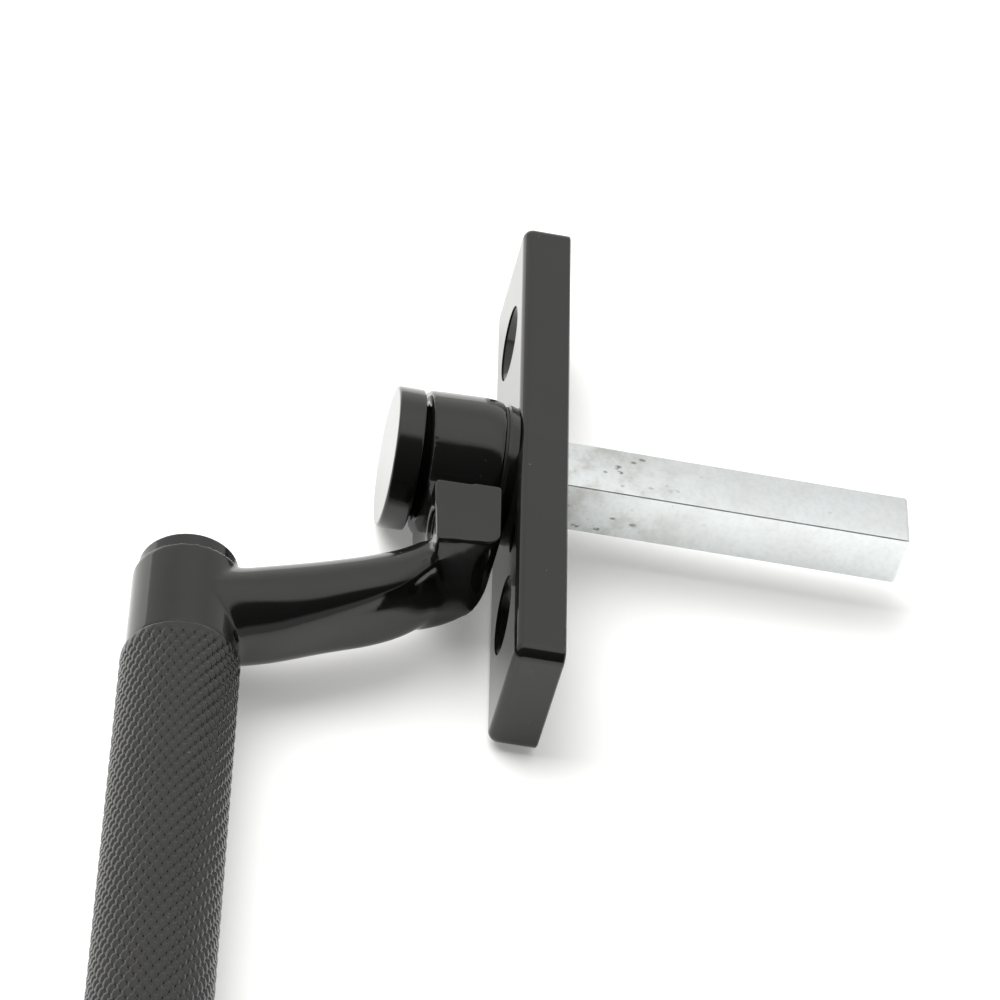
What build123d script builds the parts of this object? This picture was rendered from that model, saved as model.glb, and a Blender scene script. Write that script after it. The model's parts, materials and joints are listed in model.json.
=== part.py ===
from build123d import *
import math
import os

os.makedirs("parts", exist_ok=True)

# ---------------------------------------------------------------- driving dimensions (mm)
# Frame: origin on the spindle axis at the back face of the plate, +Z up along the plate,
# +Y into the window along the spindle, the lever and grip stand towards -Y and hang towards -Z.

# backplate
PLATE_W = 15.4            # across X
PLATE_L = 67.5            # along Z
PLATE_T = 5.45            # along Y
PLATE_CORNER_R = 1.4
PLATE_FRONT_R = 1.15
FIX_CENTRES = 43.0        # fixing holes, centre to centre
FIX_HOLE_D = 4.6
FIX_CSK_D = 8.8
PLATE_BORE_D = 12.4
RECESS_D = 3.4            # depth of the index recess from the back
RECESS_W = 12.6
RECESS_L = 18.0
SLOT_W = 10.0             # narrow ends that hold the leaf springs
SLOT_L = 24.0
COVER_T = 0.8
COVER_W = 13.2
COVER_L = 33.0
RIVET_Z = 14.2
RIVET_R = 0.9

# bearing collar between plate and hub
FLANGE_T = 1.2
FLANGE_R1 = 7.9
FLANGE_R2 = 7.6
SLEEVE_R = 6.2
SLEEVE_BORE_R = 5.15
SLEEVE_FRONT_Y = -9.4

# hub
HUB_FRONT_Y = -15.75      # at the top of the hub
HUB_FRONT_SLOPE = 0.055   # the front face falls away towards the grip side
HUB_REAR_Y = -6.98
HUB_BORE_R = 6.7
SOCKET_Y0 = -9.6
SOCKET_Y1 = -12.8
CBORE_Y = -14.4
CBORE_R = 6.25

# spindle
SPINDLE_S = 6.9           # across flats, 7 mm nominal
SPINDLE_EDGE_R = 0.6
SPINDLE_OUT = 40.2        # stands out of the plate's back face
SPINDLE_FRONT_Y = -12.7

# front cap
CAP_R = 7.95
CAP_FRONT_Y = -19.05
CAP_BACK_Y = -16.05

# lock screw inside the elbow
LOCK_X = 4.3
LOCK_Z = -14.0
LOCK_R = 2.0
LOCK_NOSE_R = 1.4
LOCK_TRAVEL = 2.75

# grip
GRIP_Y = -39.9
COLLAR_R = 5.95
COLLAR_TOP_Z = -23.85
COLLAR_BOT_Z = -35.6
GRIP_R = 6.4
GRIP_BOT_Z = -111.5
END_COLLAR_L = 6.4
END_DISC_R = 5.4
END_DISC_T = 1.95
SPIGOT_R = 4.45
SPIGOT_L = 4.0


# ---------------------------------------------------------------- helpers
def cyl_y(r, y0, y1, x=0.0, z=0.0):
    a, b = min(y0, y1), max(y0, y1)
    return Pos(x, (a + b) / 2, z) * Rot(90, 0, 0) * Cylinder(r, b - a)


def cyl_z(r, z0, z1, x=0.0, y=0.0):
    a, b = min(z0, z1), max(z0, z1)
    return Pos(x, y, (a + b) / 2) * Cylinder(r, b - a)


def block(x0, x1, y0, y1, z0, z1):
    return Pos((x0 + x1) / 2, (y0 + y1) / 2, (z0 + z1) / 2) * Box(x1 - x0, y1 - y0, z1 - z0)


def revolve_y(profile):
    """Solid of revolution about the Y axis from (radius, y) points."""
    pts = [(r, y, 0) for r, y in profile]
    face = make_face(Polyline(*pts, close=True))
    return revolve(face, axis=Axis.Y, revolution_arc=360)


def square_y(side, edge_r, y0, y1):
    """Square bar along Y with rounded edges."""
    a, b = min(y0, y1), max(y0, y1)
    sk = Plane.XZ.offset(-a) * (RectangleRounded(side, side, edge_r) if edge_r else Rectangle(side, side))
    return extrude(sk, amount=-(b - a))


def hex_y(af, y0, y1, x=0.0, z=0.0):
    a, b = min(y0, y1), max(y0, y1)
    sk = Plane.XZ.offset(-a) * Pos(x, z) * RegularPolygon(af / 2, 6, major_radius=False)
    return extrude(sk, amount=-(b - a))


def save(shape, name):
    s = shape
    export_step(s, "parts/" + name + ".step")


# ---------------------------------------------------------------- backplate
def make_backplate():
    p = block(-PLATE_W / 2, PLATE_W / 2, -PLATE_T, 0, -PLATE_L / 2, PLATE_L / 2)
    p = fillet(p.edges().filter_by(Axis.Y), PLATE_CORNER_R)
    p = fillet(p.faces().sort_by(Axis.Y)[0].edges(), PLATE_FRONT_R)
    p = chamfer(p.faces().sort_by(Axis.Y)[-1].edges(), 0.15)
    h = FIX_CENTRES / 2
    csk = (FIX_CSK_D - FIX_HOLE_D) / 2
    for z in (h, -h):
        p -= cyl_y(FIX_HOLE_D / 2, -PLATE_T - 1, 1, z=z)
        cone = revolve_y([(0, -PLATE_T - 0.6), (FIX_CSK_D / 2 + 0.0, -PLATE_T - 0.6), (FIX_CSK_D / 2, -PLATE_T + 0.25),
                          (FIX_HOLE_D / 2, -PLATE_T + 0.25 + csk), (0, -PLATE_T + 0.25 + csk)])
        p -= Pos(0, 0, z) * cone
    p -= cyl_y(PLATE_BORE_D / 2, -PLATE_T - 1, 1)
    rec = block(-RECESS_W / 2, RECESS_W / 2, -RECESS_D, 1, -RECESS_L / 2, RECESS_L / 2)
    rec = fillet(rec.edges().filter_by(Axis.Y), 1.0)
    slot = block(-SLOT_W / 2, SLOT_W / 2, -RECESS_D, 1, -SLOT_L / 2, SLOT_L / 2)
    slot = fillet(slot.edges().filter_by(Axis.Y), 0.5)
    p = p - rec - slot
    cov = block(-COVER_W / 2 - 0.05, COVER_W / 2 + 0.05, -COVER_T - 0.02, 1, -COVER_L / 2 - 0.05, COVER_L / 2 + 0.05)
    cov = fillet(cov.edges().filter_by(Axis.Y), 1.0)
    p -= cov
    for z in (RIVET_Z, -RIVET_Z):
        p -= cyl_y(RIVET_R + 0.02, -3.0, 0.1, z=z)
    p -= cyl_y(LOCK_NOSE_R + 0.15, -PLATE_T - 1, -PLATE_T + 1.7, x=LOCK_X, z=LOCK_Z)
    return p


# ---------------------------------------------------------------- bearing pieces
def make_bearing_collar():
    y0 = -PLATE_T - 0.01
    y1 = -PLATE_T - FLANGE_T
    body = revolve_y([(SLEEVE_BORE_R, -RECESS_D), (SLEEVE_R - 0.01, -RECESS_D), (SLEEVE_R - 0.01, y0),
                      (FLANGE_R2, y0), (FLANGE_R1 - 0.02, y1 + 0.25), (FLANGE_R1 - 0.12, y1),
                      (SLEEVE_R, y1), (SLEEVE_R, SLEEVE_FRONT_Y + 0.2), (SLEEVE_R - 0.2, SLEEVE_FRONT_Y),
                      (SLEEVE_BORE_R, SLEEVE_FRONT_Y)])
    return body


def make_thrust_washer():
    y1 = -PLATE_T - FLANGE_T - 0.02
    return cyl_y(7.55, y1 - 0.26, y1) - cyl_y(SLEEVE_R + 0.08, y1 - 1, y1 + 1)


def make_hub_bush():
    return (cyl_y(HUB_BORE_R - 0.01, -9.5, HUB_REAR_Y - 0.02) - cyl_y(SLEEVE_R + 0.04, -11, -5))


# ---------------------------------------------------------------- lever casting
def ring_section(cy, cz, dy, dz, a, b_top, b_low, n_top, n_low, lift, count=32):
    """Closed spline section across the arm: rounded above, flatter below, square to (dy, dz).
    lift raises the underside on the block side by that share of its depth."""
    ln = math.hypot(dy, dz)
    ny, nz = -dz / ln, dy / ln
    pts = []
    for i in range(count):
        t = 2 * math.pi * (i + 0.5) / count
        c, s = math.cos(t), math.sin(t)
        n, b = (n_low, b_low) if s > 0 else (n_top, b_top)
        u = a * math.copysign(abs(c) ** (2 / n), c)
        v = b * math.copysign(abs(s) ** (2 / n), s)
        if v > 0:
            v *= 1 - lift * (1 + u / a) / 2
        pts.append(Vector(u, cy + ny * v, cz + nz * v))
    return Wire([Edge.make_spline(pts, periodic=True)])


# y, z, direction y, z, half width, depth above, depth below, exponents above and below, lift
ARM_STATIONS = [
    (-13.00, -17.70, -0.72, -0.70, 4.70, 3.90, 2.40, 2.6, 3.6, 0.60),
    (-15.30, -20.10, -0.82, -0.57, 4.90, 4.45, 2.75, 2.4, 3.6, 0.56),
    (-18.60, -21.95, -0.90, -0.43, 5.00, 4.78, 3.35, 2.1, 3.8, 0.22),
    (-22.50, -23.60, -0.93, -0.37, 5.02, 4.92, 3.90, 2.0, 3.0, 0.08),
    (-28.00, -25.80, -0.935, -0.355, 5.20, 5.05, 4.60, 2.0, 2.3, 0.0),
    (-34.00, -28.00, -0.94, -0.345, 5.45, 5.12, 5.10, 2.0, 2.0, 0.0),
    (-38.60, -29.70, -0.94, -0.345, 5.60, 5.15, 5.15, 2.0, 2.0, 0.0),
]

# underside of the elbow: height at the block side and at the far side, going from the back towards the grip
UNDER_Y = (-6.3, -6.9, -7.3, -7.9, -8.9, -10.5, -12.4, -14.2, -16.6)
UNDER_BLOCK = (-14.0, -16.2, -17.2, -18.0, -18.45, -18.6, -18.75, -19.0, -19.5)
UNDER_FAR = (-14.0, -16.2, -17.2, -18.0, -18.6, -19.3, -20.3, -21.3, -22.6)
UNDER_X_BLOCK, UNDER_X_FAR = 7.4, -4.0

ELBOW_X1 = 7.3
ELBOW_X0 = -6.0
ELBOW_FRONT_Y = -15.55
ELBOW_REAR_Y = -7.15
NECK_HALF = 4.1


def make_elbow():
    """Squared elbow under the hub: flat sides, its underside falls from the back edge towards the arm."""
    prof = Polyline((ELBOW_X1, ELBOW_FRONT_Y), (ELBOW_X1, ELBOW_REAR_Y), (ELBOW_X0, ELBOW_REAR_Y),
                    (ELBOW_X0, ELBOW_FRONT_Y), close=True)
    body = extrude(Plane.XY.offset(-27) * make_face(prof), amount=18.6)
    body = fillet([e for e in body.edges().filter_by(Axis.Z) if e.center().X < 0 and e.center().Y > -10], 5.4)
    body = fillet([e for e in body.edges().filter_by(Axis.Z) if e.center().X < -4 and e.center().Y < -15], 2.9)
    body = fillet([e for e in body.edges().filter_by(Axis.Z) if e.center().X > 7], 0.4)
    # the top of the block slopes a little
    body -= extrude(Plane.YZ.offset(-9) * make_face(Polyline((-16.5, -9.87), (-6.0, -9.14), (-6.0, -5.0),
                                                             (-16.5, -5.0), close=True)), amount=18)
    rows = []
    for x in (8.6, 7.0, 5.4, 3.6, 1.6, -0.4, -2.0, -3.2, -4.0, -4.6, -5.1, -5.5, -5.8, -6.2):
        row = []
        for i, (y, zb, zf) in enumerate(zip(UNDER_Y, UNDER_BLOCK, UNDER_FAR)):
            k = (x - UNDER_X_FAR) / (UNDER_X_BLOCK - UNDER_X_FAR)
            z = zf + (zb - zf) * k
            # rounded towards the far side
            r = 2.0
            d = (ELBOW_X0 - 0.25 + r) - x
            if d > 0:
                z += r - math.sqrt(r * r - min(d, 0.97 * r) ** 2)
            # eased edge under the block
            e = x - (ELBOW_X1 - 0.9)
            if e > 0:
                z += 0.45 * (e / 0.9) ** 2
            row.append(Vector(x, y, z))
        rows.append(row)
    under = Solid.extrude(Face.make_surface_from_array_of_points(rows), Vector(0, 0, -25))
    return body - under


def make_lever():
    hub = revolve_y([(0, -17.0), (8.0, -17.0), (8.02, -15.5), (8.12, -13.0), (8.2, -10.5), (8.22, -9.2), (8.17, -8.3),
                     (8.02, -7.5), (7.86, HUB_REAR_Y), (0, HUB_REAR_Y)])
    # sloping front face
    tilt = math.degrees(math.atan(HUB_FRONT_SLOPE))
    cut = Pos(0, HUB_FRONT_Y, 8.0) * Rot(tilt, 0, 0) * Pos(0, -10, 0) * Box(60, 20, 80)
    neck = block(-5.2, NECK_HALF, -15.5, ELBOW_REAR_Y, -12.0, -3.0)
    hub = hub + neck - cut
    elbow = make_elbow() - cut
    arm = Solid.make_loft([ring_section(*s) for s in ARM_STATIONS])
    collar = cyl_z(COLLAR_R, COLLAR_BOT_Z, COLLAR_TOP_Z, y=GRIP_Y)
    collar = chamfer(collar.edges().sort_by(Axis.Z)[-1], 0.12)
    lever = hub + elbow + arm + collar
    lever += cyl_z(SPIGOT_R, COLLAR_BOT_Z - SPIGOT_L, COLLAR_BOT_Z, y=GRIP_Y)
    # clear the bearing pieces and the seat of the top disc
    lever -= cyl_y(8.35, HUB_REAR_Y, 0)
    lever -= cyl_z(END_DISC_R + 0.05, COLLAR_TOP_Z, COLLAR_TOP_Z + 4, y=GRIP_Y)
    # bores and sockets
    lever -= cyl_y(HUB_BORE_R, SOCKET_Y0, 0)
    lever -= square_y(SPINDLE_S + 0.06, 0.5, SOCKET_Y1, 0)
    lever -= cyl_y(2.2, -20, 0)
    lever -= cyl_y(CBORE_R, -20, CBORE_Y)
    lever -= cyl_y(LOCK_R + 0.04, -17, 0, x=LOCK_X, z=LOCK_Z)
    lever -= cyl_z(3.05, COLLAR_TOP_Z - 5.2, COLLAR_TOP_Z + 1, y=GRIP_Y)
    lever -= cyl_z(2.1, COLLAR_BOT_Z - 10, COLLAR_TOP_Z + 1, y=GRIP_Y)
    lever -= cyl_z(0.62, COLLAR_BOT_Z - 0.1, COLLAR_BOT_Z + 2.2, x=-5.2, y=GRIP_Y)
    return lever


# ---------------------------------------------------------------- hub front
def make_hub_cap():
    cap = cyl_y(CAP_R, CAP_FRONT_Y, CAP_BACK_Y)
    cap = chamfer(cap.faces().filter_by(Axis.Y).edges(), 0.12)
    cap += cyl_y(CBORE_R - 0.03, CAP_BACK_Y, CBORE_Y - 0.05)
    cap -= cyl_y(4.6, -17.75, 0)
    return cap


def make_screw_washer():
    return cyl_y(3.7, CBORE_Y - 0.52, CBORE_Y - 0.02) - cyl_y(2.12, -20, 0)


def make_spindle_screw():
    y0 = CBORE_Y - 0.54
    head = cyl_y(3.4, y0 - 1.9, y0)
    head = chamfer(head.faces().sort_by(Axis.Y)[0].edges(), 0.25)
    head -= hex_y(2.5, y0 - 2.0, y0 - 0.8)
    return head + cyl_y(1.96, y0, -5.4)


def make_spindle():
    bar = square_y(SPINDLE_S, SPINDLE_EDGE_R, SPINDLE_FRONT_Y, SPINDLE_OUT)
    bar = chamfer(bar.faces().sort_by(Axis.Y)[-1].edges(), 0.18)
    bar -= cyl_y(2.0, SPINDLE_FRONT_Y - 1, -4.6)
    # corner grooves for the snap ring
    groove = cyl_y(8, -1.58, -0.96) - cyl_y(4.22, -3, 1)
    return bar - groove


# ---------------------------------------------------------------- index mechanism in the back of the plate
def make_wave_washer():
    y = -RECESS_D + 0.02
    return cyl_y(6.05, y, y + 0.36) - cyl_y(5.2, -6, 0)


def make_index_cam():
    cam = square_y(8.6, 1.0, -2.98, -1.62)
    return cam - square_y(SPINDLE_S + 0.06, 0.5, -5, 2)


def make_circlip():
    ring = cyl_y(5.5, -1.56, -0.98) - cyl_y(4.26, -3, 1)
    gap = block(-1.1, 1.1, -3, 1, 3.0, 7.0)
    return ring - gap


def make_leaf_springs():
    out = []
    for s in (1, -1):
        flat = block(4.36, 4.66, -2.98, -1.62, -11.6, 11.6) if s > 0 else block(-4.66, -4.36, -2.98, -1.62, -11.6, 11.6)
        out.append(flat)
    return Compound(children=out)


def make_back_cover():
    c = block(-COVER_W / 2, COVER_W / 2, -COVER_T, -0.02, -COVER_L / 2, COVER_L / 2)
    c = fillet(c.edges().filter_by(Axis.Y), 0.95)
    c -= cyl_y(5.3, -3, 1)
    for z in (RIVET_Z, -RIVET_Z):
        c -= cyl_y(RIVET_R + 0.02, -3, 1, z=z)
        c -= Pos(0, 0, z) * revolve_y([(0, 0.5), (2.03, 0.5), (1.53, -0.0), (0.92, -0.62), (0, -0.62)])
    return c


def make_rivets():
    out = []
    for z in (RIVET_Z, -RIVET_Z):
        r = revolve_y([(0, -0.03), (1.47, -0.03), (RIVET_R, -0.6), (RIVET_R, -2.85), (0, -2.85)])
        out.append(Pos(0, 0, z) * r)
    return Compound(children=out)


# ---------------------------------------------------------------- lock screw
def make_lock_screw():
    nose_end = -7.0
    s = cyl_y(LOCK_R, -14.2, -9.4, x=LOCK_X, z=LOCK_Z)
    s = chamfer(s.faces().sort_by(Axis.Y)[0].edges(), 0.25)
    s += cyl_y(LOCK_NOSE_R, -9.4, nose_end, x=LOCK_X, z=LOCK_Z)
    s = chamfer(s.faces().sort_by(Axis.Y)[-1].edges(), 0.2)
    s -= hex_y(2.0, -15.0, -12.2, x=LOCK_X, z=LOCK_Z)
    return s


# ---------------------------------------------------------------- grip
def make_grip_sleeve():
    s = cyl_z(GRIP_R, GRIP_BOT_Z, COLLAR_BOT_Z - 0.03, y=GRIP_Y)
    s = chamfer(s.edges().filter_by(GeomType.CIRCLE), 0.25)
    s -= cyl_z(SPIGOT_R + 0.03, GRIP_BOT_Z - 1, COLLAR_BOT_Z + 1, y=GRIP_Y)
    s -= cyl_z(0.62, COLLAR_BOT_Z - 2.2, COLLAR_BOT_Z + 0.1, x=-5.2, y=GRIP_Y)
    return s


def make_dowel():
    return cyl_z(0.6, COLLAR_BOT_Z - 2.1, COLLAR_BOT_Z + 2.1, x=-5.2, y=GRIP_Y)


def make_top_cap():
    z = COLLAR_TOP_Z + 0.02
    c = cyl_z(END_DISC_R, z, z + END_DISC_T, y=GRIP_Y)
    c = fillet(c.edges().sort_by(Axis.Z)[-1], 0.35)
    c += cyl_z(3.0, z - 5.0, z, y=GRIP_Y)
    c -= cyl_z(2.03, z - 6.0, z - 0.4, y=GRIP_Y)
    return c


def make_bottom_collar():
    z1 = GRIP_BOT_Z - 0.03
    z0 = z1 - END_COLLAR_L
    c = cyl_z(COLLAR_R, z0, z1, y=GRIP_Y)
    c = chamfer(c.edges().sort_by(Axis.Z)[0], 0.12)
    c += cyl_z(SPIGOT_R, z1, z1 + SPIGOT_L, y=GRIP_Y)
    c -= cyl_z(3.05, z0 - 1, z0 + 5.2, y=GRIP_Y)
    c -= cyl_z(2.1, z0 - 1, z1 + 10, y=GRIP_Y)
    return c


def make_bottom_cap():
    z = GRIP_BOT_Z - 0.05 - END_COLLAR_L
    c = cyl_z(END_DISC_R, z - END_DISC_T, z, y=GRIP_Y)
    c = fillet(c.edges().sort_by(Axis.Z)[0], 0.35)
    c += cyl_z(3.0, z, z + 5.0, y=GRIP_Y)
    c -= cyl_z(2.03, z + 0.4, z + 6.0, y=GRIP_Y)
    hexcut = extrude(Plane.XY.offset(z - END_DISC_T - 0.1) * Pos(0, GRIP_Y) * RegularPolygon(1.5, 6, major_radius=False), amount=1.3)
    return c - hexcut


def make_tie_rod():
    return cyl_z(2.0, GRIP_BOT_Z - END_COLLAR_L + 0.6, COLLAR_TOP_Z - 0.7, y=GRIP_Y)


save(make_backplate(), "backplate")
save(make_bearing_collar(), "bearing_collar")
save(make_thrust_washer(), "thrust_washer")
save(make_hub_bush(), "hub_bush")
save(make_lever(), "handle_lever")
save(make_hub_cap(), "hub_cap")
save(make_screw_washer(), "screw_washer")
save(make_spindle_screw(), "spindle_screw")
save(make_spindle(), "spindle_bar")
save(make_wave_washer(), "wave_washer")
save(make_index_cam(), "index_cam")
save(make_circlip(), "spindle_circlip")
save(make_leaf_springs(), "leaf_springs")
save(make_back_cover(), "back_cover")
save(make_rivets(), "cover_rivets")
save(make_lock_screw(), "lock_screw")
save(make_grip_sleeve(), "grip_sleeve")
save(make_dowel(), "grip_dowel")
save(make_top_cap(), "grip_top_cap")
save(make_bottom_collar(), "grip_bottom_collar")
save(make_bottom_cap(), "grip_bottom_cap")
save(make_tie_rod(), "grip_tie_rod")
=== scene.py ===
import json
import math

import bmesh
import bpy
import numpy as np
from mathutils import Matrix, Vector


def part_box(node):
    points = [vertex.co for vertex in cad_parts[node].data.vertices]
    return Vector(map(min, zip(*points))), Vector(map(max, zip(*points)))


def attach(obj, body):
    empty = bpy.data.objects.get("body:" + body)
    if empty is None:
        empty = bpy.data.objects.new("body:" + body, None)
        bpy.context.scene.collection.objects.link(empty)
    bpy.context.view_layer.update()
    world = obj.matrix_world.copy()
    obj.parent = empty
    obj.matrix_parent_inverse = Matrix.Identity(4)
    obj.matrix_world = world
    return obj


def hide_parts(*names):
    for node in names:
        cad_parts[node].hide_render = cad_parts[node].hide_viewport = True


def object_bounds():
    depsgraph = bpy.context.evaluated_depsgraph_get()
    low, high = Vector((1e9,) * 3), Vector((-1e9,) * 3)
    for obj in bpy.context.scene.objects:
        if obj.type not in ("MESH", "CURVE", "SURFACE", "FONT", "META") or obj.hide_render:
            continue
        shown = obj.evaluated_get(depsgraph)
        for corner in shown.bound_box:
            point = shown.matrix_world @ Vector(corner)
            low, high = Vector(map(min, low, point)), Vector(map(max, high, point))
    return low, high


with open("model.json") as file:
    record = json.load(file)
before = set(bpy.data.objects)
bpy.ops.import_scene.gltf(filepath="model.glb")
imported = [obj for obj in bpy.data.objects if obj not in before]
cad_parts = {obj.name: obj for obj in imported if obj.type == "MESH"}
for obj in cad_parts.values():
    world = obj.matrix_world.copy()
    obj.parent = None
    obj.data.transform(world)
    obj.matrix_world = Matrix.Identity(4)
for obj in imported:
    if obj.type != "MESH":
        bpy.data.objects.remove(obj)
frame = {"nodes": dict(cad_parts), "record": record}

cad_lo, cad_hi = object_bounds()
scene = bpy.context.scene
nodes = frame["nodes"]
MM = 0.001

scene.view_settings.view_transform = "Standard"
scene.view_settings.look = "None"
scene.view_settings.exposure = 0.0
scene.view_settings.gamma = 1.0

# ------------------------------------------------------------------ camera
RIGHT = Vector((0.20950769, 0.97763760, 0.01820017))
DOWN = Vector((-0.68753024, 0.16052172, -0.70819132))
FORWARD = Vector((-0.69527599, 0.13585837, 0.70578595))
EYE = Vector((0.35942072, -0.07631824, -0.36886491))
FOCAL_PX = 4658.46

cam_data = bpy.data.cameras.new("camera")
cam_data.sensor_fit = "HORIZONTAL"
cam_data.sensor_width = 36.0
cam_data.lens = FOCAL_PX * 36.0 / 1000.0
cam_data.clip_start = 0.05
cam_data.clip_end = 20.0
cam = bpy.data.objects.new("camera", cam_data)
scene.collection.objects.link(cam)
m = Matrix.Identity(4)
for i in range(3):
    m[i][0] = RIGHT[i]
    m[i][1] = -DOWN[i]
    m[i][2] = -FORWARD[i]
    m[i][3] = EYE[i]
cam.matrix_world = m
scene.camera = cam


# ------------------------------------------------------------------ node helpers
class Tree:
    """A short way to write a shader node tree."""

    def __init__(self, tree):
        self.tree = tree

    def node(self, kind, **settings):
        n = self.tree.nodes.new(kind)
        for key, value in settings.items():
            setattr(n, key, value)
        return n

    def link(self, a, b):
        self.tree.links.new(a, b)

    def put(self, socket, value):
        if hasattr(value, "links"):
            self.link(value, socket)
        else:
            socket.default_value = value

    def math(self, op, a, b=0.0, c=None, clamp=False):
        n = self.node("ShaderNodeMath", operation=op, use_clamp=clamp)
        self.put(n.inputs[0], a)
        self.put(n.inputs[1], b)
        if c is not None:
            self.put(n.inputs[2], c)
        return n.outputs[0]

    def ramp(self, value, lo, hi, out_lo=0.0, out_hi=1.0, smooth=True):
        n = self.node("ShaderNodeMapRange", interpolation_type="SMOOTHSTEP" if smooth else "LINEAR", clamp=True)
        self.put(n.inputs[0], value)
        for k, v in zip((1, 2, 3, 4), (lo, hi, out_lo, out_hi)):
            self.put(n.inputs[k], v)
        return n.outputs[0]

    def mix(self, fac, a, b):
        n = self.node("ShaderNodeMix", data_type="RGBA")
        self.put(n.inputs[0], fac)
        self.put(n.inputs[6], a)
        self.put(n.inputs[7], b)
        return n.outputs[2]

    def coords(self, scale=(1, 1, 1)):
        tc = self.node("ShaderNodeTexCoord")
        mp = self.node("ShaderNodeMapping")
        mp.inputs["Scale"].default_value = scale
        self.link(tc.outputs["Object"], mp.inputs["Vector"])
        return mp.outputs["Vector"]

    def noise(self, vector, scale, detail=3.0, rough=0.55, distortion=0.0):
        n = self.node("ShaderNodeTexNoise")
        self.link(vector, n.inputs["Vector"])
        n.inputs["Scale"].default_value = scale
        n.inputs["Detail"].default_value = detail
        n.inputs["Roughness"].default_value = rough
        n.inputs["Distortion"].default_value = distortion
        return n.outputs[0]

    def voronoi(self, vector, scale, feature="F1", randomness=1.0):
        n = self.node("ShaderNodeTexVoronoi", feature=feature)
        self.link(vector, n.inputs["Vector"])
        n.inputs["Scale"].default_value = scale
        n.inputs["Randomness"].default_value = randomness
        return n.outputs["Distance"]

    def bump(self, height, distance, strength=1.0, normal=None):
        n = self.node("ShaderNodeBump")
        n.inputs["Strength"].default_value = strength
        n.inputs["Distance"].default_value = distance
        self.put(n.inputs["Height"], height)
        if normal is not None:
            self.link(normal, n.inputs["Normal"])
        return n.outputs[0]


def new_material(name):
    mat = bpy.data.materials.new(name)
    mat.use_nodes = True
    nt = mat.node_tree
    nt.nodes.clear()
    t = Tree(nt)
    out = t.node("ShaderNodeOutputMaterial")
    bsdf = t.node("ShaderNodeBsdfPrincipled")
    t.link(bsdf.outputs[0], out.inputs[0])
    return mat, t, bsdf


# ------------------------------------------------------------------ materials
def coat_material(name, base=(0.0064, 0.0062, 0.0060), rough=0.115, peel=1.0, dust=0.5, fine=1.0):
    """Gloss black powder coat: orange peel at two scales, faint dust specks and uneven gloss."""
    mat, t, b = new_material(name)
    v = t.coords()
    wave = t.noise(v, 260.0, 2.0, 0.5)
    peel_h = t.noise(v, 1150.0, 2.0, 0.5)
    grit = t.noise(v, 5200.0, 2.0, 0.6)
    n1 = t.bump(wave, 0.000012 * peel)
    n2 = t.bump(peel_h, 0.0000028 * peel, normal=n1)
    n3 = t.bump(grit, 0.0000006 * fine, normal=n2)
    t.link(n3, b.inputs["Normal"])
    specks = t.ramp(t.voronoi(v, 620.0), 0.10, 0.045)
    where = t.ramp(t.noise(v, 420.0, 1.0), 0.52, 0.66)
    dusty = t.math("MULTIPLY", specks, where)
    dusty = t.math("MULTIPLY", dusty, dust)
    tone = t.ramp(t.noise(v, 90.0, 4.0, 0.6), 0.3, 0.7, smooth=False)
    dark = (base[0] * 0.82, base[1] * 0.82, base[2] * 0.82, 1)
    lite = (base[0] * 1.18, base[1] * 1.18, base[2] * 1.18, 1)
    col = t.mix(tone, dark, lite)
    col = t.mix(dusty, col, (0.075, 0.073, 0.07, 1))
    t.link(col, b.inputs["Base Color"])
    r = t.ramp(t.noise(v, 150.0, 5.0, 0.65), 0.25, 0.75, rough * 0.88, rough * 1.14, smooth=False)
    r = t.math("ADD", r, t.math("MULTIPLY", dusty, 0.25))
    t.link(r, b.inputs["Roughness"])
    b.inputs["IOR"].default_value = 1.5
    return mat


def cap_material(name, ior=1.5, scuff=0.0, rough=0.12):
    """Smooth black cap: mirror gloss, with very fine straight scuffs where it is rubbed."""
    mat, t, b = new_material(name)
    v = t.coords()
    wave = t.noise(v, 200.0, 2.0, 0.5)
    n1 = t.bump(wave, 0.000006)
    tone = t.noise(v, 120.0, 4.0, 0.6)
    col = t.mix(tone, (0.0056, 0.0055, 0.0053, 1), (0.0082, 0.0080, 0.0077, 1))
    r = t.ramp(t.noise(v, 700.0, 4.0, 0.6), 0.3, 0.7, rough * 0.88, rough * 1.2, smooth=False)
    if scuff > 0:
        lines = None
        for ang, sc in ((0.4, 1.0), (1.35, 1.2), (2.3, 0.9)):
            mp = t.node("ShaderNodeMapping", vector_type="POINT")
            mp.inputs["Rotation"].default_value = (0, ang, 0)
            mp.inputs["Scale"].default_value = (9000.0 * sc, 300.0, 260.0)
            t.link(v, mp.inputs["Vector"])
            n = t.node("ShaderNodeTexNoise")
            t.link(mp.outputs[0], n.inputs["Vector"])
            n.inputs["Scale"].default_value = 1.0
            n.inputs["Detail"].default_value = 1.0
            s = t.ramp(n.outputs[0], 0.70, 0.78)
            lines = s if lines is None else t.math("MAXIMUM", lines, s)
        n1 = t.bump(lines, 0.0000006, normal=n1)
        col = t.mix(t.math("MULTIPLY", lines, scuff), col, (0.09, 0.088, 0.085, 1))
        r = t.math("ADD", r, t.math("MULTIPLY", lines, 0.08))
    t.link(n1, b.inputs["Normal"])
    t.link(col, b.inputs["Base Color"])
    t.link(r, b.inputs["Roughness"])
    b.inputs["IOR"].default_value = ior
    return mat


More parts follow.
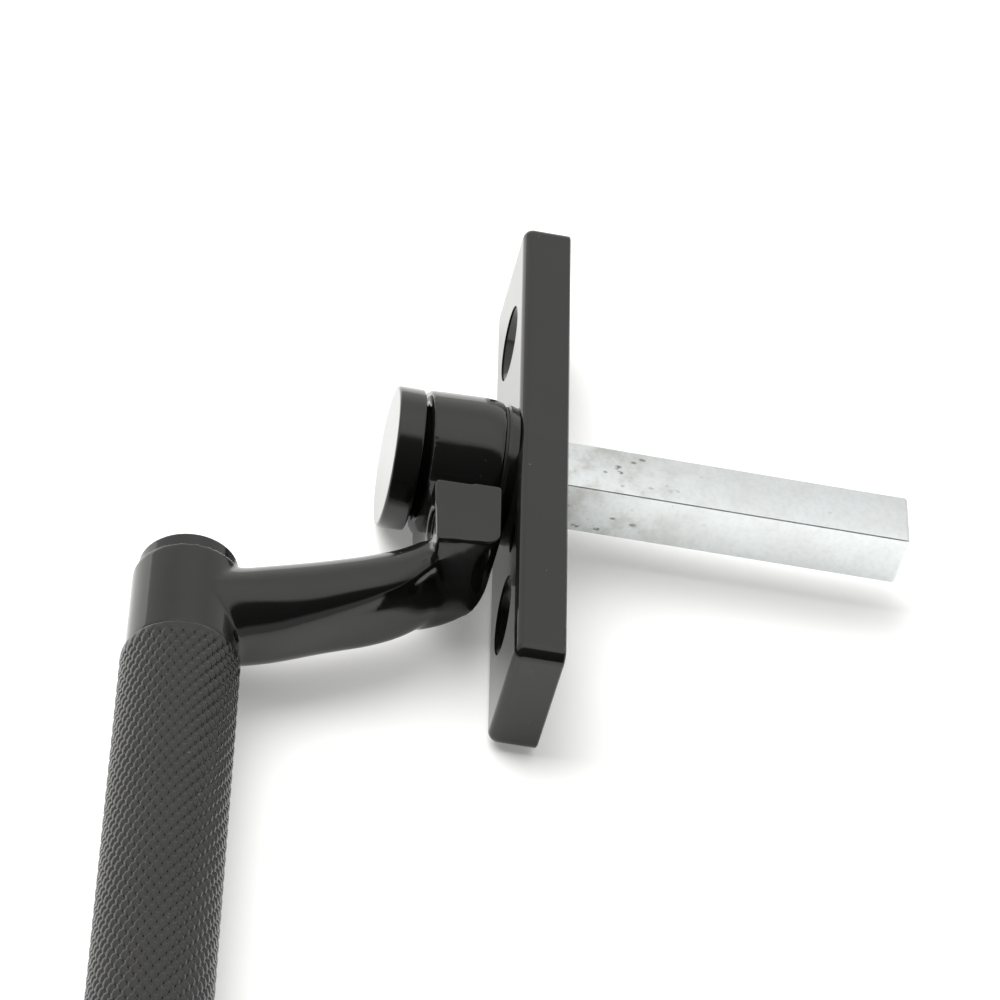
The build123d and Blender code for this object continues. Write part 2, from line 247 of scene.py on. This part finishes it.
def zinc_material(name):
    """Bright zinc plate over drawn steel: milky patches and rust-dark pits. Close to the plate the plating greys
    as painted shade, and the pits crowd there, real pitting darkened further as painted shade.
    """
    mat, t, b = new_material(name)
    v = t.coords()
    cloud = t.noise(v, 130.0, 5.0, 0.62)
    fine = t.noise(v, 1500.0, 4.0, 0.6)
    drawn = t.noise(t.coords((1, 0.05, 1)), 3200.0, 2.0, 0.5)
    col = t.mix(t.ramp(cloud, 0.3, 0.7), (0.715, 0.745, 0.755, 1), (0.655, 0.675, 0.675, 1))
    col = t.mix(t.ramp(fine, 0.40, 0.75, 0.0, 0.30), col, (0.52, 0.53, 0.51, 1))
    sep = t.node("ShaderNodeSeparateXYZ")
    t.link(v, sep.inputs[0])
    near = t.ramp(sep.outputs[1], 0.021, 0.003, 0.0, 1.0)
    # painted shade: greyer plating close to the plate
    painted_shade_near_plate = t.math("MULTIPLY", t.ramp(t.noise(v, 260.0, 4.0, 0.65), 0.42, 0.66), near)
    col = t.mix(t.math("MULTIPLY", painted_shade_near_plate, 0.45), col, (0.36, 0.345, 0.30, 1))
    stretch = t.coords((1, 0.55, 1))
    # dark pits everywhere; their extra crowding close to the plate is painted shade
    pits = t.ramp(t.voronoi(stretch, 900.0), 0.30, 0.16)
    gate = t.ramp(t.noise(v, 430.0, 3.0, 0.6), 0.50, 0.60)
    far = t.ramp(t.noise(v, 330.0, 2.0), 0.63, 0.69, 0.0, 0.55)
    sp = t.math("MULTIPLY", pits, t.math("MAXIMUM", t.math("MULTIPLY", gate, near), far))
    tiny = t.math("MULTIPLY", t.ramp(t.voronoi(v, 2600.0), 0.20, 0.08), t.ramp(t.noise(v, 700.0, 2.0), 0.55, 0.65))
    sp = t.math("MAXIMUM", sp, t.math("MULTIPLY", tiny, t.math("ADD", 0.12, t.math("MULTIPLY", near, 0.7))))
    col = t.mix(t.math("MULTIPLY", sp, 0.85), col, (0.13, 0.12, 0.10, 1))
    t.link(col, b.inputs["Base Color"])
    b.inputs["Metallic"].default_value = 1.0
    r = t.ramp(cloud, 0.3, 0.7, 0.27, 0.36, smooth=False)
    r = t.math("ADD", r, t.math("MULTIPLY", sp, 0.3))
    t.link(r, b.inputs["Roughness"])
    h = t.math("ADD", t.math("MULTIPLY", drawn, 0.35), t.math("MULTIPLY", sp, -1.6))
    n1 = t.bump(t.noise(v, 420.0, 3.0), 0.000007)
    n2 = t.bump(h, 0.0000045, normal=n1)
    t.link(n2, b.inputs["Normal"])
    return mat


def steel_material(name, tone=0.55, rough=0.32, warm=0.0, scale=900.0):
    mat, t, b = new_material(name)
    v = t.coords()
    n = t.noise(v, scale, 4.0, 0.6)
    w = warm
    c0 = (tone * 0.85 * (1 + w), tone * 0.85, tone * 0.85 * (1 - w), 1)
    c1 = (tone * 1.12 * (1 + w), tone * 1.12, tone * 1.12 * (1 - w), 1)
    t.link(t.mix(n, c0, c1), b.inputs["Base Color"])
    b.inputs["Metallic"].default_value = 1.0
    t.link(t.ramp(n, 0.3, 0.7, rough * 0.8, rough * 1.25, smooth=False), b.inputs["Roughness"])
    t.link(t.bump(t.noise(v, scale * 3, 3.0), 0.000002), b.inputs["Normal"])
    return mat


def nylon_material(name):
    mat, t, b = new_material(name)
    v = t.coords()
    n = t.noise(v, 700.0, 3.0)
    t.link(t.mix(n, (0.012, 0.012, 0.012, 1), (0.020, 0.020, 0.020, 1)), b.inputs["Base Color"])
    t.link(t.ramp(n, 0.3, 0.7, 0.42, 0.55, smooth=False), b.inputs["Roughness"])
    t.link(t.bump(n, 0.000004), b.inputs["Normal"])
    return mat


COAT = coat_material("black_powder_coat")
KNURL = coat_material("black_coat_knurl", base=(0.0085, 0.0082, 0.0078), rough=0.20, peel=0.3, dust=0.9, fine=1.4)
CAP = cap_material("black_cap_gloss")
CAP_FACE = cap_material("black_cap_face", ior=2.1, scuff=0.25, rough=0.10)
ZINC = zinc_material("zinc_plated_steel")
STEEL = steel_material("plain_steel", 0.52, 0.34)
SPRING = steel_material("spring_steel", 0.34, 0.28, 0.03)
NYLON = nylon_material("black_nylon")
BLACK_STEEL = steel_material("blackened_steel", 0.045, 0.38)

BY_SLOT = {
    "black_coat": COAT, "black_cap": CAP, "knurl_black": KNURL, "zinc_plate": ZINC, "steel": STEEL,
    "spring_steel": SPRING, "nylon": NYLON, "black_steel": BLACK_STEEL,
}
SLOT_OF = {}
for entry in frame["record"]["materials"]:
    for n in entry.get("nodes", []):
        SLOT_OF[n] = entry["slot"]


def paint(obj, mat):
    if not obj.material_slots:
        obj.data.materials.append(mat)
    for s in obj.material_slots:
        s.material = mat


for name, obj in nodes.items():
    slot_name = SLOT_OF.get(name)
    if slot_name is None and obj.material_slots and obj.material_slots[0].material:
        slot_name = obj.material_slots[0].material.name.split(".")[0]
    paint(obj, BY_SLOT.get(slot_name, COAT))


# ------------------------------------------------------------------ mesh helpers
def mesh_object(name, verts, faces, mat, smooth=True):
    me = bpy.data.meshes.new(name)
    me.from_pydata([tuple(v) for v in verts], [], [tuple(f) for f in faces])
    me.validate()
    me.update()
    me.polygons.foreach_set("use_smooth", [smooth] * len(me.polygons))
    me.materials.append(mat)
    o = bpy.data.objects.new(name, me)
    scene.collection.objects.link(o)
    return o


# ------------------------------------------------------------------ knurled grip sleeve
def knurled_sleeve():
    lo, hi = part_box("grip_sleeve")
    cy = (lo.y + hi.y) / 2
    r_out = (hi.y - lo.y) / 2 - 0.00001
    r_in = 4.49 * MM
    z_top, z_bot = hi.z, lo.z
    cells_round, per = 32, 8
    pitch_z = 1.87 * MM
    depth = 0.34 * MM
    half = 0.30
    n = cells_round * per
    step = pitch_z / per
    k_top, k_bot = z_top - 0.62 * MM, z_bot + 0.62 * MM
    rows = int((k_top - k_bot) / step)
    start = k_top
    theta = 2 * math.pi * np.arange(n) / n

    def groove(t):
        d = np.abs(t - np.round(t))
        g = np.clip(1.0 - d / half, 0.0, 1.0)
        return g * g * (3 - 2 * g)

    verts, rings = [], []

    def ring(r, z):
        rr = np.broadcast_to(np.asarray(r, float), (n,))
        base = len(verts)
        for a, q in zip(theta, rr):
            verts.append((q * math.cos(a), cy + q * math.sin(a), z))
        rings.append(base)

    ring(r_in, z_top)
    ring(r_out - 0.26 * MM, z_top)
    ring(r_out - 0.12 * MM, z_top - 0.05 * MM)
    ring(r_out - 0.05 * MM, z_top - 0.16 * MM)
    ring(r_out - 0.04 * MM, z_top - 0.34 * MM)
    first = len(rings)
    x = np.arange(n) / per
    heights = []
    for j in range(rows + 1):
        z = start - j * step
        w = j / per
        a, b = groove(x + w), groove(x - w)
        h = 0.50 * np.maximum(a, b) + 0.62 * np.minimum(a, b)
        fade = min(1.0, min(j, rows - j) / 4.0)
        h = np.clip(h, 0, 1.4) * depth * (0.25 + 0.75 * fade)
        heights.append(h)
        ring(r_out - h, z)
    last = len(rings) - 1
    ring(r_out - 0.04 * MM, z_bot + 0.34 * MM)
    ring(r_out - 0.05 * MM, z_bot + 0.16 * MM)
    ring(r_out - 0.12 * MM, z_bot + 0.05 * MM)
    ring(r_out - 0.26 * MM, z_bot)
    ring(r_in, z_bot)
    faces = []

    def true_h(xc, wc):
        a, b = groove(np.array([xc + wc])), groove(np.array([xc - wc]))
        return float((0.50 * np.maximum(a, b) + 0.62 * np.minimum(a, b))[0]) * depth

    # the height at each quad's middle decides which diagonal keeps the groove lines straight
    pick = {}
    for i in range(per):
        for j in range(per):
            c = true_h((i + 0.5) / per, (j + 0.5) / per)

            def hh(p, q):
                return true_h(p / per, q / per)

            e1 = abs(c - (hh(i, j) + hh(i + 1, j + 1)) / 2)
            e2 = abs(c - (hh(i + 1, j) + hh(i, j + 1)) / 2)
            pick[(i, j)] = e1 <= e2
    for k in range(len(rings) - 1):
        r0, r1 = rings[k], rings[k + 1]
        inside = first <= k < last
        for i in range(n):
            i2 = (i + 1) % n
            p, q, s, u = r0 + i, r0 + i2, r1 + i2, r1 + i
            if inside:
                if pick[(i % per, (k - first) % per)]:
                    faces.append((p, s, q))
                    faces.append((p, u, s))
                else:
                    faces.append((p, u, q))
                    faces.append((q, u, s))
            else:
                faces.append((p, u, s, q))
    r0, r1 = rings[-1], rings[0]
    for i in range(n):
        i2 = (i + 1) % n
        faces.append((r0 + i, r1 + i, r1 + i2, r0 + i2))
    o = mesh_object("grip_knurled_sleeve", verts, faces, KNURL)
    return o


sleeve = knurled_sleeve()
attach(sleeve, "lever")
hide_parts("grip_sleeve")

# ------------------------------------------------------------------ cast lever
def cast_lever():
    """The lever with the softened edges of a casting: remeshed from its CAD solid and relaxed."""
    src = nodes["handle_lever"]
    tmp = bpy.data.objects.new("lever_source", src.data.copy())
    scene.collection.objects.link(tmp)
    md = tmp.modifiers.new("remesh", "REMESH")
    md.mode = "VOXEL"
    md.voxel_size = 0.27 * MM
    md.adaptivity = 0.0
    dg = bpy.context.evaluated_depsgraph_get()
    dg.update()
    me = bpy.data.meshes.new_from_object(tmp.evaluated_get(dg))
    me.name = "handle_lever_cast"
    bpy.data.objects.remove(tmp, do_unlink=True)
    nv = len(me.vertices)
    co = np.empty(nv * 3)
    me.vertices.foreach_get("co", co)
    co = co.reshape(-1, 3)
    ed = np.empty(len(me.edges) * 2, dtype=np.int64)
    me.edges.foreach_get("vertices", ed)
    ed = ed.reshape(-1, 2)
    deg = np.bincount(ed.ravel(), minlength=nv).astype(float)[:, None]
    x, y, z = co[:, 0] / MM, co[:, 1] / MM, co[:, 2] / MM
    gy = y + 39.9
    rg = np.sqrt(x * x + gy * gy)

    def step(lo, hi, q):
        u = np.clip((q - lo) / (hi - lo), 0, 1)
        return u * u * (3 - 2 * u)

    # how many rounds of smoothing each part gets
    want = np.full(nv, 2.0)
    arm = step(-14.8, -16.4, y) * step(5.9, 6.6, rg)
    elbow = step(-8.2, -10.0, z) * (1 - arm) * step(-17.5, -16.5, y)
    joint = step(-32.6, -33.6, y) * step(-35.4, -34.6, y) * step(-23.9, -24.8, z) * step(-36.2, -35.0, z)
    want += 1.0 * elbow * step(7.0, 6.0, x) + 26.0 * arm + 8.0 * joint
    want += 22.0 * step(-17.6, -18.8, z + 0.04 * (x - 7.3)) * step(7.1, 5.6, x) * step(-8.2, -9.4, y) * step(5.9, 6.6, rg) * (1 - arm)
    want += 14.0 * step(-11.2, -13.0, y) * step(-20.5, -18.0, y) * step(-18.4, -19.8, z) * step(6.6, 5.4, x)
    for k in range(44):
        w = np.clip(want - k, 0, 1)[:, None] * 0.5
        acc = np.zeros_like(co)
        np.add.at(acc, ed[:, 0], co[ed[:, 1]])
        np.add.at(acc, ed[:, 1], co[ed[:, 0]])
        co = co + w * (acc / deg - co)
    me.vertices.foreach_set("co", co.ravel())
    me.update()
    me.polygons.foreach_set("use_smooth", [True] * len(me.polygons))
    me.materials.clear()
    me.materials.append(COAT)
    o = bpy.data.objects.new("handle_lever_cast", me)
    scene.collection.objects.link(o)
    return o


lever = cast_lever()
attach(lever, "lever")
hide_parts("handle_lever")


# ------------------------------------------------------------------ front cap
def turned_cap():
    """The cap over the hub, turned from its profile, with a softly rounded rim and a polished face."""
    lo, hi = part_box("hub_cap")
    r, y0, y1 = hi.x - 0.00001, lo.y, hi.y
    ys = y0 + 3.0 * MM
    prof = [(0.0, y0 + 0.010 * MM), (2.0 * MM, y0 + 0.006 * MM), (5.0 * MM, y0)]
    e = 0.34 * MM
    prof.append((r - e - 0.3 * MM, y0))
    for k in range(7):
        a = k / 6 * math.pi / 2
        prof.append((r - e + e * math.sin(a), y0 + e - e * math.cos(a)))
    face_rows = 4
    prof += [(r, y0 + 0.8 * MM), (r, y0 + 1.6 * MM), (r, ys - 0.30 * MM)]
    for k in range(1, 4):
        a = k / 3 * math.pi / 2
        prof.append((r - 0.2 * MM * (1 - math.cos(a)), ys - 0.2 * MM + 0.2 * MM * math.sin(a)))
    prof += [(6.22 * MM, ys), (6.20 * MM, y1 - 0.1 * MM), (6.1 * MM, y1), (0.0, y1)]
    n = 144
    verts, faces, mats = [], [], []
    idx = []
    for q, yy in prof:
        if q == 0.0:
            idx.append([len(verts)] * n)
            verts.append((0.0, yy, 0.0))
        else:
            idx.append([len(verts) + i for i in range(n)])
            for i in range(n):
                a = 2 * math.pi * i / n
                verts.append((q * math.cos(a), yy, q * math.sin(a)))
    for k in range(len(prof) - 1):
        for i in range(n):
            j = (i + 1) % n
            f = [idx[k][i], idx[k][j], idx[k + 1][j], idx[k + 1][i]]
            f = list(dict.fromkeys(f))
            if len(f) > 2:
                faces.append(f)
                mats.append(1 if k < face_rows else 0)
    o = mesh_object("hub_cap_turned", verts, faces, CAP)
    o.data.materials.append(CAP_FACE)
    if len(o.data.polygons) == len(mats):
        o.data.polygons.foreach_set("material_index", mats)
    bm = bmesh.new()
    bm.from_mesh(o.data)
    bmesh.ops.recalc_face_normals(bm, faces=bm.faces)
    bm.to_mesh(o.data)
    bm.free()
    return o


cap = turned_cap()
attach(cap, "lever")
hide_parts("hub_cap")

# ------------------------------------------------------------------ square spindle
def drawn_bar():
    """The square spindle as drawn bar: narrow worn edges and a small chamfer at its cut end."""
    lo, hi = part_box("spindle_bar")
    h = hi.x - 0.000005
    e = 0.17 * MM

    def outline(half, rad):
        pts = []
        for sx, sz, a0 in ((1, 1, 0.0), (-1, 1, math.pi / 2), (-1, -1, math.pi), (1, -1, 3 * math.pi / 2)):
            for k in range(5):
                a = a0 + k / 4 * math.pi / 2
                pts.append((sx * (half - rad) + rad * math.cos(a), sz * (half - rad) + rad * math.sin(a)))
        return pts

    ys = [(lo.y, h - 0.25 * MM), (lo.y + 0.25 * MM, h)]
    steps = 60
    for k in range(1, steps):
        ys.append((lo.y + 0.25 * MM + (hi.y - lo.y - 0.65 * MM) * k / steps, h))
    ys += [(hi.y - 0.38 * MM, h), (hi.y - 0.16 * MM, h - 0.07 * MM), (hi.y - 0.04 * MM, h - 0.2 * MM),
           (hi.y, h - 0.42 * MM)]
    verts, faces = [], []
    for k, (y, half) in enumerate(ys):
        # shear marks and handling dents along the edges
        wob = 0.016 * MM * math.sin(k * 2.3) * math.sin(k * 0.71 + 1.0) if 1 < k < steps else 0.0
        for px, pz in outline(half, e + abs(wob) * 1.5):
            verts.append((px, y, pz))
    n = 20
    for k in range(len(ys) - 1):
        for i in range(n):
            j = (i + 1) % n
            faces.append((k * n + i, k * n + j, (k + 1) * n + j, (k + 1) * n + i))
    for base, y in ((0, ys[0][0]), ((len(ys) - 1) * n, ys[-1][0])):
        c = len(verts)
        verts.append((0.0, y, 0.0))
        for i in range(n):
            faces.append((base + i, base + (i + 1) % n, c))
    o = mesh_object("spindle_drawn_bar", verts, faces, ZINC)
    bm = bmesh.new()
    bm.from_mesh(o.data)
    bmesh.ops.recalc_face_normals(bm, faces=bm.faces)
    for f in bm.faces:
        f.smooth = abs(f.normal.y) < 0.2
    for ed in bm.edges:
        if len(ed.link_faces) == 2 and ed.calc_face_angle(0) > math.radians(35):
            ed.smooth = False
    bm.to_mesh(o.data)
    bm.free()
    return o


bar = drawn_bar()
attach(bar, "lever")
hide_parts("spindle_bar")

# ------------------------------------------------------------------ glowing table, light
TABLE_X = cad_lo.x - 0.00003


def glowing_table_material():
    mat, t, b = new_material("glowing_white_table")
    out = [n for n in t.tree.nodes if n.type == "OUTPUT_MATERIAL"][0]
    v = t.coords()
    tone = t.noise(v, 6.0, 3.0)
    t.link(t.mix(tone, (0.74, 0.74, 0.735, 1), (0.77, 0.77, 0.765, 1)), b.inputs["Base Color"])
    # painted light: the table glows, its emission lifting its own shadows and lighting the object from below
    b.inputs["Emission Color"].default_value = (1.0, 1.0, 0.99, 1)
    b.inputs["Emission Strength"].default_value = 0.24
    b.inputs["Roughness"].default_value = 0.6
    b.inputs["Specular IOR Level"].default_value = 0.25
    see = t.node("ShaderNodeBsdfTransparent")
    geo = t.node("ShaderNodeNewGeometry")
    mx = t.node("ShaderNodeMixShader")
    t.link(geo.outputs["Backfacing"], mx.inputs[0])
    t.link(b.outputs[0], mx.inputs[1])
    t.link(see.outputs[0], mx.inputs[2])
    t.link(mx.outputs[0], out.inputs[0])
    return mat


S = 2.5
table = mesh_object(
    "table",
    [(TABLE_X, -S, -S), (TABLE_X, S, -S), (TABLE_X, S, S), (TABLE_X, -S, S)],
    [(0, 1, 2, 3)],
    glowing_table_material(),
    smooth=False,
)

key_data = bpy.data.lights.new("key", "AREA")
key_data.shape = "DISK"
key_data.size = 1.0
key_data.energy = 13.0
key_data.color = (1.0, 0.995, 0.985)
key = bpy.data.objects.new("key", key_data)
scene.collection.objects.link(key)
key.location = (0.62, -0.40, 0.32)
key.rotation_mode = "QUATERNION"
key.rotation_quaternion = (Vector((0, 0, 0)) - key.location).to_track_quat("-Z", "Y")
key.visible_glossy = False

world = bpy.data.worlds.new("studio")
scene.world = world
world.use_nodes = True
wt = Tree(world.node_tree)
world.node_tree.nodes.clear()
w_out = wt.node("ShaderNodeOutputWorld")
bg_seen = wt.node("ShaderNodeBackground")
bg_seen.inputs[0].default_value = (0.93, 0.93, 0.925, 1)
bg_seen.inputs[1].default_value = 1.0
bg_light = wt.node("ShaderNodeBackground")
tc = wt.node("ShaderNodeTexCoord")
sp = wt.node("ShaderNodeSeparateXYZ")
wt.link(tc.outputs["Generated"], sp.inputs[0])
dx, dy, dz = sp.outputs[0], sp.outputs[1], sp.outputs[2]
# a wide overhead softbox whose near edge stops short of the camera
edge = wt.ramp(dz, -0.22, -0.02)
zen = wt.ramp(dx, 0.55, 0.98, 0.91, 1.36)
level = wt.math("MULTIPLY", edge, zen)
# a pale wall on the window side, beside the camera
side = wt.math("MULTIPLY", wt.ramp(dy, 0.30, 0.50), wt.math("SUBTRACT", 1.0, edge))
side = wt.math("MULTIPLY", side, wt.ramp(dx, 0.26, 0.37, 1.0, 0.0))
level = wt.math("ADD", level, wt.math("MULTIPLY", side, 0.62))
dark = 0.05
level = wt.math("ADD", level, dark)
wt.link(level, bg_light.inputs[1])
bg_light.inputs[0].default_value = (1.0, 0.998, 0.985, 1)
lp = wt.node("ShaderNodeLightPath")
wm = wt.node("ShaderNodeMixShader")
wt.link(lp.outputs["Is Camera Ray"], wm.inputs[0])
wt.link(bg_light.outputs[0], wm.inputs[1])
wt.link(bg_seen.outputs[0], wm.inputs[2])
wt.link(wm.outputs[0], w_out.inputs[0])
